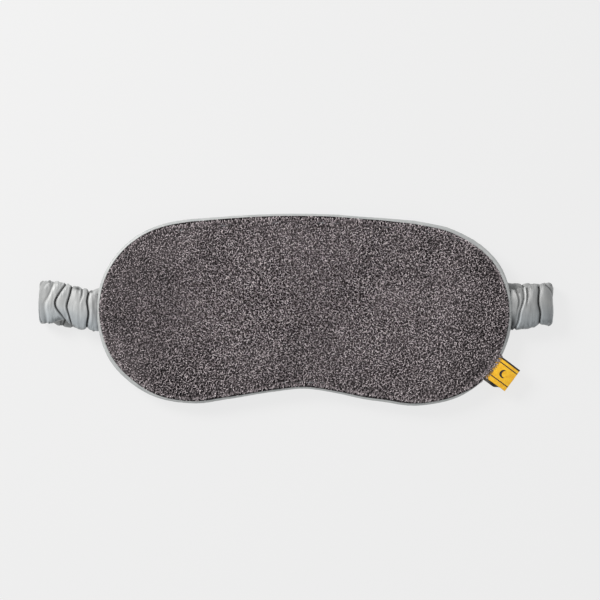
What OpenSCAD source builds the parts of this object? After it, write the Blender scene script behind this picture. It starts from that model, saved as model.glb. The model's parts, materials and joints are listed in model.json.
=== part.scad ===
// Padded sleep eye mask, lying face up with its elastic strap folded flat beneath it.
// X runs across the face, Y towards the brow and Z out of the face side.
// The origin is on the surface that the back run of the strap rests on.

/* [Mask outline] */
// Width over the piping
mask_w = 212; // [180:1:255]
// Radius of the two temple corners
corner_r = 45.1; // [37:0.1:55]
// Rise of the brow edge above the temple corners
brow_rise = 4.6; // [3:0.1:10]
// Radius of the two cheek lobes
lobe_r = 48; // [39:0.1:58]
// Depth of the nose notch between the lobes
notch_rise = 7.2; // [4:0.1:12]

/* [Padding] */
// Height of the face side above the seam plane
crown_h = 6.6; // [5.5:0.1:12]
// Depth of the back side below the seam plane
belly_h = 4.2; // [3.5:0.1:8]
// Distance from the edge at which the padding reaches full thickness
crown_inset = 26; // [21:0.5:32]
// Thickness of the terry face fabric, pile included
terry_t = 2.4; // [1.5:0.1:3]
// Thickness of the blackout liner
liner_t = 0.5; // [0.3:0.05:0.7]
// Thickness of the satin back fabric
satin_t = 0.5; // [0.3:0.05:0.7]

/* [Piping and seam] */
// Diameter of the covered piping
piping_d = 3; // [2.5:0.1:3.8]
// Thickness of one ply of the piping cover
piping_ply = 0.35; // [0.2:0.05:0.45]
// Width of the seam allowance behind the piping
allowance_w = 6; // [5:0.1:8]
// Thickness of the terry where it is pressed flat in the seam
pressed_t = 0.6; // [0.4:0.05:1]
// Diameter of the sewing thread
thread_d = 0.4; // [0.3:0.05:0.5]

/* [Strap] */
// Width of the gathered strap
strap_w = 22; // [18:0.5:30]
// Thickness of the gathered strap
strap_t = 4; // [3.2:0.1:5]
// Thickness of the gathered casing wall
casing_wall = 1.2; // [0.8:0.05:1.3]
// Width of the elastic inside the strap
elastic_w = 18; // [13:0.5:19]
// Thickness of the elastic
elastic_t = 0.9; // [0.6:0.05:1.1]
// How far the left turn of the strap reaches past the mask
left_reach = 30; // [20:0.5:50]
// How far the right turn of the strap reaches past the mask
right_reach = 21; // [17:0.5:50]
// Open height between the two layers of the folded strap
fold_gap = 3.3; // [2.5:0.1:4.5]
// Height above the mask's middle at which the strap is sewn in on the left
left_sewn_y = -1.1; // [-4:0.1:4]
// Height above the mask's middle at which the strap turns on the left
left_turn_y = 2.2; // [-6:0.1:6]
// Height above the mask's middle at which the strap is sewn in on the right
right_sewn_y = 1; // [-4:0.1:4]
// Height above the mask's middle at which the strap turns on the right
right_turn_y = 3.8; // [-6:0.1:6]

/* [Label] */
// Width of the woven label along the seam
label_w = 13.3; // [9:0.1:17]
// Length of the label past the piping
label_len = 11.4; // [8:0.1:15]
// Thickness of one ply of the folded label
label_ply = 0.3; // [0.2:0.05:0.4]
// Place of the label on the right lobe, in degrees below the widest line
label_angle = 35.5; // [25:1:70]
// Droop of the label at rest, in degrees
label_droop = 8; // [0:1:15]

/* [Hidden] */

// Clearances
ply_gap = 0.05;     // between plies that are sewn together
rest_gap = 0.3;     // between the pad and the strap beneath it
elastic_play = 0.05; // above and below the elastic where the casing is pressed flat
bore_play = 0.2;    // least space above and below the elastic elsewhere

// Outline arcs: brow, temple corner, cheek lobe and nose notch, all tangent
arc_steps = [6, 9, 10, 6];
side_y = (lobe_r - corner_r - brow_rise) / 2;
corner_x = mask_w / 2 - corner_r;
lobe_x = mask_w / 2 - lobe_r;
brow_h = corner_r + brow_rise;
brow_r = (corner_x * corner_x + brow_h * brow_h - corner_r * corner_r) / (2 * brow_rise);
brow_cy = side_y + brow_h - brow_r;
notch_h = lobe_r - notch_rise;
notch_r = (lobe_x * lobe_x + notch_h * notch_h - lobe_r * lobe_r) / (2 * notch_rise);
notch_cy = side_y - notch_h - notch_r;
brow_end = atan2(side_y - brow_cy, corner_x);
lobe_end = atan2(notch_cy - side_y, -lobe_x);

// Seam stack, as distances in from the edge and heights from the seam plane
piping_r = piping_d / 2;
cord_r = piping_r - piping_ply - ply_gap;
flange_h = piping_ply + ply_gap;
rim_d = piping_d + 0.9;
allow_d = piping_d + allowance_w;
seam_d = rim_d + 0.7;
label_gap = 0.1;
label_t = 2 * label_ply + label_gap;
tail_slack = 0.25;
tail_wall = 0.25;
tail_t = elastic_t + 2 * (tail_wall + elastic_play);
front_lo = flange_h + label_t + 2 * ply_gap;
front_hi = front_lo + pressed_t;
back_hi = -(flange_h + tail_t + 2 * ply_gap);
back_lo = back_hi - satin_t;
shoulder_steps = 5;

// Strap folded under the mask
fold_r = (strap_t + fold_gap) / 2;
seam_z = strap_t + rest_gap + belly_h;
run_z = strap_t / 2 + 2 * fold_r - seam_z;
fold_steps = 10;
bore_half = max(strap_t / 2 - casing_wall, elastic_t / 2 + bore_play);
fold_outer_r = fold_r + strap_t / 2;
tail_z = -(flange_h + ply_gap + tail_t / 2);
dip_z = -(piping_r + 2 * ply_gap + tail_t / 2);
dip_w = 0.5;
ramp_w = 5;
bar_steps = 5;
left_side = [left_reach, left_sewn_y, left_turn_y];
right_side = [right_reach, right_sewn_y, right_turn_y];
casing_chamfer = 1;
bore_chamfer = 0.2;
elastic_chamfer = 0.1;
tack_d = 7.6;
tack_count = 7;

// Label hinge line, outward from the edge and up from the seam plane
hinge_u = -0.2;
hinge_z = 2;
flap_start = 0.5;

function arc(cx, cy, r, a0, a1, n) =
    [for (i = [0 : n - 1]) let (a = a0 + (a1 - a0) * i / n) [cx + r * cos(a), cy + r * sin(a)]];

// Right half of the outline moved in by d, from the brow to the notch
function half_outline(d) = concat(
    arc(0, brow_cy, brow_r - d, 90, brow_end, arc_steps[0]),
    arc(corner_x, side_y, corner_r - d, brow_end, 0, arc_steps[1]),
    arc(lobe_x, side_y, lobe_r - d, 0, lobe_end, arc_steps[2]),
    arc(0, notch_cy, notch_r + d, lobe_end + 180, 90, arc_steps[3]),
    [[0, notch_cy + notch_r + d]]
);

// Whole outline moved in by d, clockwise
function outline(d) =
    let (h = half_outline(d))
    concat(h, [for (i = [len(h) - 2 : -1 : 1]) [-h[i].x, h[i].y]]);

// Two triangles between neighbouring points a, b of one ring and c, d of the next
function quad(a, b, c, d) = [[b, a, c], [b, c, d]];

// Triangles between rings j and k of n points each
function band(j, k, n) =
    [for (i = [0 : n - 1], t = quad(j * n + i, j * n + (i + 1) % n, k * n + i, k * n + (i + 1) % n)) t];

function flatten_rings(rings) = [for (r = rings, p = r) p];

// Closed solid from a profile of [inset, height] that starts above the middle and ends below it
module loft(profile) {
    rings = [for (p = profile) [for (q = outline(p[0])) [q.x, q.y, p[1] + seam_z]]];
    n = len(rings[0]);
    last = len(rings) - 1;
    top = n * (last + 1);
    points = concat(flatten_rings(rings),
        [[0, 0, profile[0][1] + seam_z], [0, 0, profile[last][1] + seam_z]]);
    faces = concat(
        [for (j = [0 : last - 1], t = band(j, j + 1, n)) t],
        [for (i = [0 : n - 1]) [top, i, (i + 1) % n]],
        [for (i = [0 : n - 1]) [top + 1, last * n + (i + 1) % n, last * n + i]]
    );
    polyhedron(points, faces, convexity = 6);
}

// Closed ring round the edge from a closed section of [inset, height]
module ring_loft(section) {
    rings = [for (p = section) [for (q = outline(p[0])) [q.x, q.y, p[1] + seam_z]]];
    n = len(rings[0]);
    m = len(rings);
    polyhedron(flatten_rings(rings),
        [for (j = [0 : m - 1], t = band(j, (j + 1) % m, n)) t], convexity = 6);
}

// Quarter ellipse from the rim to full thickness, as [inset, height]
function shoulder(inset, height, full_height) =
    [for (i = [0 : shoulder_steps]) let (a = 90 * i / shoulder_steps)
        [inset + (crown_inset - inset) * (1 - cos(a)), height + (full_height - height) * sin(a)]];

function reversed(list) = [for (i = [len(list) - 1 : -1 : 0]) list[i]];

module front_panel() {
    color("#615b5c")
        loft(concat(
            reversed(shoulder(rim_d, front_lo, crown_h)),
            [[allow_d, front_lo], [allow_d, front_hi]],
            shoulder(rim_d + terry_t, front_hi, crown_h - terry_t)
        ));
}

module blackout_liner() {
    edge = allow_d + ply_gap;
    top_z = crown_h - terry_t - ply_gap;
    color("#1c1c1e")
        loft(concat(
            reversed(shoulder(edge, front_hi, top_z)),
            shoulder(edge + liner_t, front_hi, top_z - liner_t)
        ));
}

module wadding() {
    edge = allow_d + 2 * liner_t;
    top_z = crown_h - terry_t - liner_t - 2 * ply_gap;
    color("#f0efe9")
        loft(concat(
            reversed(shoulder(edge, front_lo, top_z)),
            shoulder(edge, back_lo, satin_t + ply_gap - belly_h)
        ));
}

module back_panel() {
    fold_d = rim_d + satin_t + 0.4;
    color("#b9babd")
        loft(concat(
            reversed(shoulder(fold_d, back_lo - 0.1, satin_t - belly_h)),
            [[fold_d, back_lo], [allow_d, back_lo], [allow_d, back_hi], [rim_d + 0.3, back_hi]],
            shoulder(rim_d, back_hi - 0.3, -belly_h)
        ));
}

// Circle round the piping's centre as [inset, height], from angle a0 to a1 in n steps
function piping_arc(r, a0, a1, n) =
    [for (i = [0 : n]) let (a = a0 + (a1 - a0) * i / n) [piping_r + r * cos(a), r * sin(a)]];

module piping_cord() {
    cord_sides = 8;
    color("#e8e6e0")
        ring_loft([for (i = [0 : cord_sides - 1]) let (a = 180 - 360 * i / cord_sides)
            [piping_r - cord_r * cos(a), cord_r * sin(a)]]);
}

// Strip folded round the cord, its two plies lying together as the flange
module piping_cover() {
    slit = ply_gap / 2;
    inner_r = cord_r + ply_gap;
    outer_a = asin(flange_h / piping_r);
    inner_a = asin(slit / inner_r);
    color("#a9abae")
        ring_loft(concat(
            [[allow_d, flange_h]],
            piping_arc(piping_r, outer_a, 360 - outer_a, 10),
            [[allow_d, -flange_h], [allow_d, -slit]],
            piping_arc(inner_r, 360 - inner_a, inner_a, 8),
            [[allow_d, slit]]
        ));
}

// One lock stitch: a leg through the plies with a bar above and a bar below
module stitch(length, low, high) {
    t = thread_d / 2;
    rotate([90, 0, 0])
        linear_extrude(thread_d, center = true)
            polygon([
                [-length / 2, high], [-length / 2, high + t], [length / 2, high + t],
                [length / 2, high], [t, high], [t, low], [length / 2, low],
                [length / 2, low - t], [-length / 2, low - t], [-length / 2, low],
                [-t, low], [-t, high]
            ]);
}

module seam_stitching() {
    line = outline(seam_d);
    n = len(line);
    fill = 0.7;
    color("#8f9194")
        for (i = [0 : n - 1]) {
            p = line[i];
            q = line[(i + 1) % n];
            step = q - p;
            translate([(p.x + q.x) / 2, (p.y + q.y) / 2, seam_z])
                rotate(atan2(step.y, step.x))
                    stitch(norm(step) * fill, back_lo, front_hi);
        }
}

// Stations along one side of the strap: [outward, height, tilt, half thickness, half bore]
function strap_stations(reach) =
    let (
        turn_u = reach - fold_outer_r,
        thick = strap_t / 2,
        thin = tail_t / 2,
        bore = elastic_t / 2 + elastic_play
    )
    concat(
        [
            [-allow_d, tail_z, 0, thin, bore],
            [-rim_d - 0.3, tail_z, 0, thin, bore],
            [-piping_r - 1, dip_z, 0, thin, bore],
            [dip_w - piping_r, dip_z, 0, thin, bore],
            [ramp_w, run_z, 0, thick, bore_half]
        ],
        [for (i = [0 : fold_steps]) let (a = 180 * i / fold_steps)
            [turn_u + fold_r * sin(a), run_z - fold_r + fold_r * cos(a), a, thick, bore_half]]
    );

// How far the mask's side edge has curved inwards at height y
function edge_bend(y) =
    let (r = y > side_y ? corner_r : lobe_r)
    r - sqrt(r * r - (y - side_y) * (y - side_y));

// Points along the lower side of a chamfered bar and back along its upper side
function bar_section(width, half, chamfer) =
    let (
        c = min(chamfer, half * 0.6),
        w = width / 2,
        lower = concat(
            [[-w, c - half]],
            [for (i = [0 : bar_steps]) [(w - c) * (2 * i / bar_steps - 1), -half]],
            [[w, c - half]]
        )
    )
    concat(lower, reversed([for (p = lower) [p.x, -p.y]]));

// Section of a strap at a station; it follows the curved edge as far as the piping
function strap_section(s, side, width, half, chamfer) =
    let (
        climb = max(0, min(1, s[0] / (side[0] - fold_outer_r))),
        y = side[1] + (side[2] - side[1]) * climb,
        follow = max(0, min(1, (ramp_w - s[0]) / (ramp_w - dip_w + piping_r)))
    )
    [for (p = bar_section(width, half, chamfer)) [
        mask_w / 2 + s[0] + p[1] * sin(s[2]) - follow * edge_bend(p[0] + y),
        y + p[0],
        seam_z + s[1] + p[1] * cos(s[2])
    ]];

// Solid swept through rings that each run along a lower side and back along an upper side
module sweep(rings) {
    n = len(rings[0]);
    last = len(rings) - 1;
    end = last * n;
    polyhedron(flatten_rings(rings), concat(
        [for (j = [0 : last - 1], t = band(j, j + 1, n)) t],
        [for (i = [0 : n / 2 - 2]) [i, i + 1, n - 2 - i]],
        [for (i = [0 : n / 2 - 2]) [i, n - 2 - i, n - 1 - i]],
        [for (i = [0 : n / 2 - 2]) [end + i + 1, end + i, end + n - 2 - i]],
        [for (i = [0 : n / 2 - 2]) [end + n - 2 - i, end + i, end + n - 1 - i]]
    ), convexity = 8);
}

// Side section of the gathered casing, a tube that ends open at both ends
module side_casing(side) {
    stations = strap_stations(side[0]);
    bore_w = strap_w - 2 * casing_wall;
    outer = [for (s = stations) strap_section(s, side, strap_w, s[3], casing_chamfer)];
    inner = [for (s = stations) strap_section(s, side, bore_w, s[4], bore_chamfer)];
    n = len(outer[0]);
    m = len(stations);
    polyhedron(flatten_rings(concat(outer, reversed(inner))),
        [for (j = [0 : 2 * m - 1], t = band(j, (j + 1) % (2 * m), n)) t], convexity = 8);
}

// Side section of the elastic, running inside the casing
module side_elastic(side) {
    sweep([for (s = strap_stations(side[0]))
        strap_section(s, side, elastic_w, elastic_t / 2, elastic_chamfer)]);
}

// Row of stitches that holds the strap tail to the back panel's allowance
module strap_tack(sewn_y) {
    pitch = elastic_w / tack_count;
    color("#8f9194")
        for (i = [0 : tack_count - 1])
            translate([mask_w / 2 - tack_d, sewn_y + (i - (tack_count - 1) / 2) * pitch, seam_z])
                rotate(90)
                    stitch(pitch * 0.7, back_lo, -flange_h - ply_gap - thread_d / 2);
}

module left_strap_casing() {
    color("#b7b9b9")
        mirror([1, 0, 0])
            side_casing(left_side);
}

module left_strap_elastic() {
    color("#dcdcd8")
        mirror([1, 0, 0])
            side_elastic(left_side);
}

module left_strap_tack() {
    mirror([1, 0, 0])
        strap_tack(left_sewn_y);
}

module right_strap_casing() {
    color("#979a9b")
        side_casing(right_side);
}

module right_strap_elastic() {
    color("#dcdcd8")
        side_elastic(right_side);
}

module right_strap_tack() {
    strap_tack(right_sewn_y);
}

// Run of the strap under the mask, slanting from one turn to the other and past them by extra
module back_run(width, height, extra) {
    left_x = -(mask_w / 2 + left_reach - fold_outer_r - ply_gap);
    right_x = mask_w / 2 + right_reach - fold_outer_r - ply_gap;
    slope = (right_turn_y - left_turn_y) / (right_x - left_x);
    left_y = left_turn_y - slope * extra;
    right_y = right_turn_y + slope * extra;
    w = width / 2;
    translate([0, 0, (strap_t - height) / 2])
        linear_extrude(height)
            polygon([
                [left_x - extra, left_y - w], [right_x + extra, right_y - w],
                [right_x + extra, right_y + w], [left_x - extra, left_y + w]
            ]);
}

module back_strap_casing() {
    color("#a8aaab")
        difference() {
            back_run(strap_w, strap_t, 0);
            back_run(strap_w - 2 * casing_wall, 2 * bore_half, 1);
        }
}

module back_strap_elastic() {
    color("#dcdcd8")
        back_run(elastic_w, elastic_t, 0);
}

// Puts X outwards across the seam at the label's place, with Z up from the seam plane
module at_label() {
    translate([lobe_x, side_y, seam_z])
        rotate(-label_angle)
            translate([lobe_r, 0, 0])
                children();
}

// Circle round the piping's centre as [outward, height], from angle a0 to a1 in n steps
function over_piping(r, a0, a1, n) =
    [for (i = [0 : n]) let (a = a0 + (a1 - a0) * i / n) [r * cos(a) - piping_r - tail_slack, r * sin(a)]];

// Fixed end of the label: sewn in the seam, laid over the piping and following the lobe's curve
module label_tail() {
    low = flange_h + ply_gap;
    high = low + label_t;
    inner_r = piping_r + ply_gap;
    outer_r = inner_r + label_t;
    arc_n = 6;
    across_n = 4;
    lower = concat([[-allow_d, low]], over_piping(inner_r, 180 - asin(low / inner_r), 90, arc_n));
    upper = concat([[-allow_d, high]], over_piping(outer_r, 180 - asin(high / outer_r), 90, arc_n));
    profile = concat(lower, reversed(upper));
    color("#d9b23a")
        at_label()
            sweep([for (k = [0 : across_n]) let (y = label_w * (0.5 - k / across_n))
                [for (p = profile) [p.x + sqrt(lobe_r * lobe_r - y * y) - lobe_r, y, p.y]]]);
}

// Free end of the label, folded back on itself
module woven_label() {
    h = label_t / 2;
    length = label_len - hinge_u;
    color("#f0c63e")
        at_label()
            translate([hinge_u, 0, hinge_z])
                rotate([90, label_droop, 0])
                    linear_extrude(label_w, center = true)
                        polygon([
                            [flap_start, -h], [length - h, -h], [length, -h / 2], [length, h / 2],
                            [length - h, h], [flap_start, h], [flap_start, label_gap / 2],
                            [length - h, label_gap / 2], [length - h, -label_gap / 2],
                            [flap_start, -label_gap / 2]
                        ]);
}

front_panel();
blackout_liner();
wadding();
back_panel();
piping_cord();
piping_cover();
seam_stitching();
left_strap_casing();
left_strap_elastic();
left_strap_tack();
right_strap_casing();
right_strap_elastic();
right_strap_tack();
back_strap_casing();
back_strap_elastic();
label_tail();
woven_label();
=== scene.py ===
import json
import math
import random

import bpy
import numpy as np
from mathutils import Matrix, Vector, noise
from mathutils.bvhtree import BVHTree


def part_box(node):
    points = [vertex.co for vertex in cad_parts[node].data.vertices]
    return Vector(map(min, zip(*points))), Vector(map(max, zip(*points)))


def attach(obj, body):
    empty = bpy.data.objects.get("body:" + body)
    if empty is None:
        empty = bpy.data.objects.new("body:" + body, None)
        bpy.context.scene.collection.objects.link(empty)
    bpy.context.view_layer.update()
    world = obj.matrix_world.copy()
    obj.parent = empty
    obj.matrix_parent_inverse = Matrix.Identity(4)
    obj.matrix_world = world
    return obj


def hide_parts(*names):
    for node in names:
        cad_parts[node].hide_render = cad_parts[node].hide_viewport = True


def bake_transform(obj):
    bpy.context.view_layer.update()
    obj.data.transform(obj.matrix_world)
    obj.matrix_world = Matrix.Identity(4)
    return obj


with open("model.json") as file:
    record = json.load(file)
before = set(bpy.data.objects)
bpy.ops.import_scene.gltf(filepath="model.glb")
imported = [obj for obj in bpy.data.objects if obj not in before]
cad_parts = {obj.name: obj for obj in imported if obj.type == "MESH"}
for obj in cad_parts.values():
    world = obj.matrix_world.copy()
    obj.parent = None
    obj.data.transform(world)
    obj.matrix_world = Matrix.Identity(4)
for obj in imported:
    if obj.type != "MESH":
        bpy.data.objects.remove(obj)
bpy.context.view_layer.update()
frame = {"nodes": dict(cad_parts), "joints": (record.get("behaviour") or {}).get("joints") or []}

mm = 0.001
pipeLow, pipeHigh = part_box("piping_cover")
seamZ = (pipeLow.z + pipeHigh.z) / 2
maskHalf = pipeHigh.x
pipeR = (pipeHigh.z - pipeLow.z) / 2


# ---- small helpers

def deselectAll():
    for thing in bpy.context.selected_objects:
        thing.select_set(False)


def makeActive(piece):
    deselectAll()
    piece.select_set(True)
    bpy.context.view_layer.objects.active = piece


def meshPiece(name, points, faces, smooth=True):  # a new object from plain lists
    mesh = bpy.data.meshes.new(name)
    mesh.from_pydata([tuple(p) for p in points], [], [tuple(f) for f in faces])
    mesh.polygons.foreach_set("use_smooth", [smooth] * len(mesh.polygons))
    mesh.update()
    piece = bpy.data.objects.new(name, mesh)
    bpy.context.collection.objects.link(piece)
    return piece


def applyModifier(piece, kind, **settings):
    made = piece.modifiers.new(kind.title(), kind)
    for key, value in settings.items():
        setattr(made, key, value)
    makeActive(piece)
    bpy.ops.object.modifier_apply(modifier=made.name)


def readPoints(piece):
    points = np.empty(len(piece.data.vertices) * 3)
    piece.data.vertices.foreach_get("co", points)
    return points.reshape(-1, 3)


def writePoints(piece, points):
    piece.data.vertices.foreach_set("co", np.asarray(points, float).ravel())
    piece.data.update()


def outwards(piece):  # turns every face outwards
    makeActive(piece)
    bpy.ops.object.mode_set(mode="EDIT")
    bpy.ops.mesh.select_all(action="SELECT")
    bpy.ops.mesh.normals_make_consistent(inside=False)
    bpy.ops.object.mode_set(mode="OBJECT")


def gridFaces(rows, cols, wrapRows=False, wrapCols=True):  # quads of a rows by cols net of points
    faces = []
    for r in range(rows if wrapRows else rows - 1):
        for c in range(cols if wrapCols else cols - 1):
            a, b = r * cols + c, r * cols + (c + 1) % cols
            down = ((r + 1) % rows) * cols
            faces.append((a, b, down + (c + 1) % cols, down + c))
    return faces


def lengthsAlong(line):  # how far each point of a line lies from its start
    return np.r_[0, np.cumsum(np.linalg.norm(np.diff(line, axis=0), axis=1))]


def cutCorners(line, times):  # rounds a bent line of (x, z) points
    for _ in range(times):
        cut = [line[0]]
        for (x0, z0), (x1, z1) in zip(line, line[1:]):
            cut.append((0.75 * x0 + 0.25 * x1, 0.75 * z0 + 0.25 * z1))
            cut.append((0.25 * x0 + 0.75 * x1, 0.25 * z0 + 0.75 * z1))
        line = cut + [line[-1]]
    return np.array(line)


def meshTree(mesh):
    return BVHTree.FromPolygons([v.co for v in mesh.vertices], [tuple(p.vertices) for p in mesh.polygons])


def smoothStep(low, high, value):
    t = np.clip((value - low) / (high - low), 0, 1)
    return t * t * (3 - 2 * t)


def softNoise(x, y, z=0.0, octaves=2):
    x, y, z = np.broadcast_arrays(x, y, z)
    return np.array([noise.fractal(p, 1.0, 2.0, octaves)
                     for p in zip(x.ravel(), y.ravel(), z.ravel())]).reshape(x.shape)


def hexColour(text):  # sRGB hex to linear
    parts = [int(text[i:i + 2], 16) / 255 for i in (1, 3, 5)]
    return tuple(c / 12.92 if c <= 0.04045 else ((c + 0.055) / 1.055) ** 2.4 for c in parts) + (1,)


def addNode(tree, kind, settings=None, links=None):  # one node, its settings and what feeds it
    made = tree.nodes.new("ShaderNode" + kind)
    for key, value in (settings or {}).items():
        if isinstance(key, int) or key in made.inputs:
            made.inputs[key].default_value = value
        else:
            setattr(made, key, value)
    for key, source in (links or {}).items():
        tree.links.new(source, made.inputs[key])
    return made


def mathNode(tree, operation, *inputs, clamp=False):  # inputs are numbers or other nodes' outputs
    made = tree.nodes.new("ShaderNodeMath")
    made.operation = operation
    made.use_clamp = clamp
    for number, value in enumerate(inputs):
        if isinstance(value, (int, float)):
            made.inputs[number].default_value = value
        else:
            tree.links.new(value, made.inputs[number])
    return made.outputs[0]


def newMaterial(name):
    made = bpy.data.materials.new(name)
    made.use_nodes = True
    made.node_tree.nodes.clear()
    return made, made.node_tree


def useRamp(made, stops):  # sets a ColorRamp's stops from (place, hex)
    ramp = made.color_ramp
    ramp.elements[0].position, ramp.elements[0].color = stops[0][0], hexColour(stops[0][1])
    ramp.elements[1].position, ramp.elements[1].color = stops[-1][0], hexColour(stops[-1][1])
    for place, colour in stops[1:-1]:
        ramp.elements.new(place).color = hexColour(colour)
    return made


def giveMaterial(piece, *materials):
    piece.data.materials.clear()
    for one in materials:
        piece.data.materials.append(one)


# ---- outline: brow, temple, lobe and notch arcs, all tangent, as on the pattern

outline = {"templeR": 45.1 * mm, "browRise": 4.6 * mm, "lobeR": 48 * mm, "notchRise": 7.2 * mm}


def edgeArcs():
    templeR, browRise = outline["templeR"], outline["browRise"]
    lobeR, notchRise = outline["lobeR"], outline["notchRise"]
    sideY = (lobeR - templeR - browRise) / 2
    templeX, lobeX = maskHalf - templeR, maskHalf - lobeR
    browH, notchH = templeR + browRise, lobeR - notchRise
    browR = (templeX ** 2 + browH ** 2 - templeR ** 2) / (2 * browRise)
    notchR = (lobeX ** 2 + notchH ** 2 - lobeR ** 2) / (2 * notchRise)
    browY, notchY = sideY + browH - browR, sideY - notchH - notchR
    browEnd = math.atan2(sideY - browY, templeX)
    lobeEnd = math.atan2(notchY - sideY, -lobeX)
    return [(0, browY, browR, math.pi / 2, browEnd, 1), (templeX, sideY, templeR, browEnd, 0, 1),
            (lobeX, sideY, lobeR, 0, lobeEnd, 1), (0, notchY, notchR, lobeEnd + math.pi, math.pi / 2, -1)]


def edgeLine(count):  # evenly spaced x, y and outward normal, clockwise from the brow
    half = []
    for x, y, r, start, end, side in edgeArcs():
        for a in np.linspace(start, end, 400):
            c, s = math.cos(a), math.sin(a)
            half.append((x + r * c, y + r * s, side * c, side * s))
    half = np.array(half)
    whole = np.vstack([half, half[::-1] * (-1, 1, -1, 1)])
    far = lengthsAlong(whole[:, :2])
    wanted = np.arange(count) * far[-1] / count
    return np.stack([np.interp(wanted, far, whole[:, i]) for i in range(4)], axis=1)


denseEdge = edgeLine(1600)
# Where the sewn edge strays from the pattern: x, y, how far it strays outwards and over what reach, in mm
strays = [(31, -45, 1.3, 12), (-33, -45, 0.7, 12), (0, -42, -1.2, 11), (66, -48, -0.6, 11),
          (-63, -48, -0.5, 11),
          (-99, -27, 0.6, 12), (98, 22, 0.6, 10), (-61, 45, 0.5, 10), (56, 45, 0.4, 8), (81, 40, -0.5, 9),
          (28, 48, -0.3, 9)]


def strayPoints(points):  # moves points of the pad as its edge strays
    points = np.array(points, float)
    moved = points.copy()
    for x, y, out, reach in strays:
        _, near = insetOf(np.array([x * mm]), np.array([y * mm]))
        share = np.exp(-((points[:, 0] - x * mm) ** 2 + (points[:, 1] - y * mm) ** 2) / (reach * mm) ** 2)
        moved[:, 0] += out * mm * share * denseEdge[near[0], 2]
        moved[:, 1] += out * mm * share * denseEdge[near[0], 3]
    return moved


def insetOf(x, y):  # distance in from the edge and the nearest edge point's number
    found = np.empty(len(x))
    nearest = np.empty(len(x), int)
    for start in range(0, len(x), 2000):
        part = slice(start, start + 2000)
        gap = np.hypot(x[part, None] - denseEdge[:, 0], y[part, None] - denseEdge[:, 1])
        nearest[part] = gap.argmin(1)
        near = denseEdge[nearest[part]]
        found[part] = (near[:, 0] - x[part]) * near[:, 2] + (near[:, 1] - y[part]) * near[:, 3]
    return found, nearest


def loftPiece(name, profile, count):  # closed solid from (inset, height) rings, capped at the middle
    edge = edgeLine(count)
    rings = [np.column_stack([edge[:, 0] - d * edge[:, 2], edge[:, 1] - d * edge[:, 3],
                              np.full(count, seamZ + z)]) for d, z in profile]
    points = list(np.vstack(rings)) + [(0, 0, seamZ + profile[0][1]), (0, 0, seamZ + profile[-1][1])]
    faces = gridFaces(len(rings), count)
    top, last = len(rings) * count, (len(rings) - 1) * count
    faces += [(top, (i + 1) % count, i) for i in range(count)]
    faces += [(top + 1, last + i, last + (i + 1) % count) for i in range(count)]
    piece = meshPiece(name, points, faces)
    outwards(piece)
    return piece


# ---- materials

terryLook = {"deep": "#120f10", "mid": "#a4999c", "light": "#f2e8ea", "fuzz": 0.12 * mm}


def terryMaterial():
    # Combed cotton terry, yarn-dyed and looped: matt, pale loop tops with painted shade in the hollows
    # between them, the tone attribute running down to the deep colour at the loops' feet and on the ground
    # cloth
    made, tree = newMaterial("looped cotton terry")
    tone = addNode(tree, "Attribute", {"attribute_name": "tone"})
    place = addNode(tree, "TexCoord")
    patches = addNode(tree, "TexNoise", {"Scale": 1 / (22 * mm), "Detail": 3.0},
                      {"Vector": place.outputs["Object"]})
    fuzz = addNode(tree, "TexNoise", {"Scale": 1 / terryLook["fuzz"] / 4, "Detail": 2.0},
                   {"Vector": place.outputs["Object"]})
    spread = mathNode(tree, "MULTIPLY_ADD", patches.outputs["Fac"], 0.22, -0.11)
    grain = mathNode(tree, "MULTIPLY_ADD", fuzz.outputs["Fac"], 0.3, -0.15)
    value = mathNode(tree, "ADD", mathNode(tree, "ADD", spread, grain), tone.outputs["Fac"], clamp=True)
    ramp = useRamp(addNode(tree, "ValToRGB", None, {"Fac": value}),
                   [(0.0, terryLook["deep"]), (0.55, terryLook["mid"]), (1.0, terryLook["light"])])
    bump = addNode(tree, "Bump", {"Strength": 0.35, "Distance": 0.1 * mm}, {"Height": fuzz.outputs["Fac"]})
    shader = addNode(tree, "BsdfPrincipled",
                     {"Roughness": 0.95, "Sheen Weight": 0.12, "Sheen Roughness": 0.5,
                      "Specular IOR Level": 0.2},
                     {"Base Color": ramp.outputs["Color"], "Normal": bump.outputs["Normal"]})
    addNode(tree, "OutputMaterial", None, {"Surface": shader.outputs[0]})
    return made


satinLook = {"thread": 0.32 * mm, "roughness": 0.40}


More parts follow.
